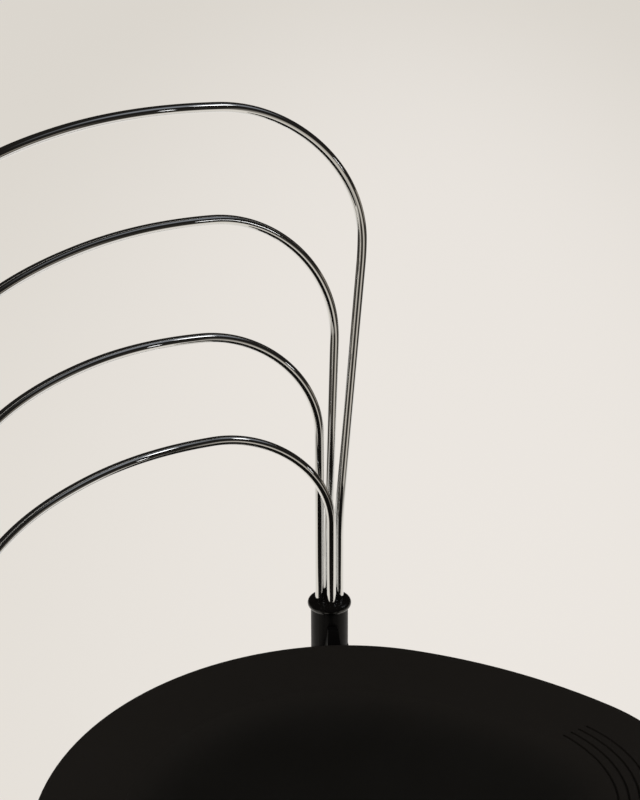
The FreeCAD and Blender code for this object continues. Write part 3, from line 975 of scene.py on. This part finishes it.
    def floor_material(self) -> bpy.types.Material:
        """Paint on a smooth floor: matt, pale, and shown mostly at its own colour."""
        material = bpy.data.materials.new("painted_floor")
        material.use_nodes = True
        tree = material.node_tree
        tree.nodes.clear()
        place = add_node(tree, "ShaderNodeTexCoord").outputs["Object"]
        mirrored = self.mirrored_tone(tree, place)
        painted = self.painted_tone(tree, place)
        path = add_node(tree, "ShaderNodeLightPath")
        tone = add_node(
            tree, "ShaderNodeMix", {"data_type": "RGBA"},
            {"Factor": path.outputs["Is Glossy Ray"], "A": painted, "B": mirrored},
        ).outputs["Result"]
        matt = add_node(
            tree, "ShaderNodeBsdfDiffuse", inputs={"Color": linear(self.backdrop)}
        ).outputs["BSDF"]
        glow = add_node(
            tree, "ShaderNodeEmission", inputs={"Color": tone, "Strength": 1.0}
        ).outputs["Emission"]
        shown = add_node(
            tree, "ShaderNodeMath", {"operation": "MULTIPLY"},
            {0: path.outputs["Is Camera Ray"], 1: self.shown_share},
        ).outputs["Value"]
        share = add_node(
            tree, "ShaderNodeMath", {"operation": "MAXIMUM"},
            {0: shown, 1: path.outputs["Is Glossy Ray"]},
        ).outputs["Value"]
        mixed = add_node(
            tree, "ShaderNodeMixShader", inputs={0: share, 1: matt, 2: glow}
        ).outputs["Shader"]
        add_node(tree, "ShaderNodeOutputMaterial", inputs={"Surface": mixed})
        return material

    def build_floor(self) -> None:
        """Lay the pale floor, which shows the backdrop's colour and keeps the chair's shadow."""
        half = self.floor_size / 2
        mesh = bpy.data.meshes.new("floor")
        corners = [(-half, -half, 0.0), (half, -half, 0.0), (half, half, 0.0), (-half, half, 0.0)]
        mesh.from_pydata(corners, [], [(0, 1, 2, 3)])
        floor = bpy.data.objects.new("floor", mesh)
        bpy.context.scene.collection.objects.link(floor)
        mesh.materials.append(self.floor_material())

    def build_world(self) -> None:
        """Surround the chair with plain soft light, and with the dim room the chrome mirrors."""
        world = bpy.data.worlds.new("studio")
        bpy.context.scene.world = world
        world.use_nodes = True
        tree = world.node_tree
        tree.nodes.clear()
        way = add_node(tree, "ShaderNodeTexCoord").outputs["Generated"]
        room: Any = linear(self.room_dark)
        for panel in self.panels:
            facing = add_node(
                tree, "ShaderNodeVectorMath", {"operation": "DOT_PRODUCT"}, {0: way, 1: panel.way()}
            ).outputs["Value"]
            glow = add_node(
                tree, "ShaderNodeMapRange", {"interpolation_type": "SMOOTHSTEP"},
                {
                    "Value": facing,
                    "From Min": math.cos(math.radians(panel.radius_deg + panel.edge_deg)),
                    "From Max": math.cos(math.radians(panel.radius_deg)),
                    "To Max": panel.strength,
                },
            ).outputs["Result"]
            room = add_node(
                tree, "ShaderNodeMix",
                {"data_type": "RGBA", "blend_type": "ADD", "clamp_factor": False},
                {"Factor": glow, "A": room, "B": linear(panel.colour)},
            ).outputs["Result"]
        path = add_node(tree, "ShaderNodeLightPath")
        mirrored = add_node(
            tree, "ShaderNodeMix", {"data_type": "RGBA"},
            {"Factor": path.outputs["Is Glossy Ray"], "A": linear(self.room_light), "B": room},
        ).outputs["Result"]
        shown = add_node(
            tree, "ShaderNodeMath", {"operation": "MAXIMUM"},
            {0: path.outputs["Is Camera Ray"], 1: path.outputs["Is Transmission Ray"]},
        ).outputs["Value"]
        colour = add_node(
            tree, "ShaderNodeMix", {"data_type": "RGBA"},
            {"Factor": shown, "A": mirrored, "B": linear(self.backdrop_far)},
        ).outputs["Result"]
        light = add_node(tree, "ShaderNodeBackground", inputs={"Color": colour, "Strength": 1.0})
        add_node(tree, "ShaderNodeOutputWorld", inputs={"Surface": light.outputs["Background"]})

    def build_lamps(self) -> None:
        """Hang the soft lamps, which light the chair and don't show in its chrome."""
        for lamp in self.lamps:
            data = bpy.data.lights.new(lamp.name, "AREA")
            data.size = lamp.size
            data.energy = lamp.power
            hung = bpy.data.objects.new(lamp.name, data)
            aim = Vector(self.lamp_target) - Vector(lamp.place)
            hung.rotation_mode = "QUATERNION"
            hung.rotation_quaternion = aim.to_track_quat("-Z", "Y")
            hung.location = lamp.place
            hung.visible_glossy = False
            bpy.context.scene.collection.objects.link(hung)

    def build(self) -> None:
        """Build the whole studio."""
        self.build_floor()
        self.build_world()
        self.build_lamps()
        self.build_camera()
        bpy.context.scene.view_settings.view_transform = "Standard"


def main() -> None:
    """Dress the chair, sub-assembly by sub-assembly, and set up the studio."""
    for part in (Seat(), RodBack(), TubeFrame(), Feet(), Fasteners(), Studio()):
        part.build()
        LOG.info("built %s", type(part).__name__)


if __name__ == "__main__":
    main()
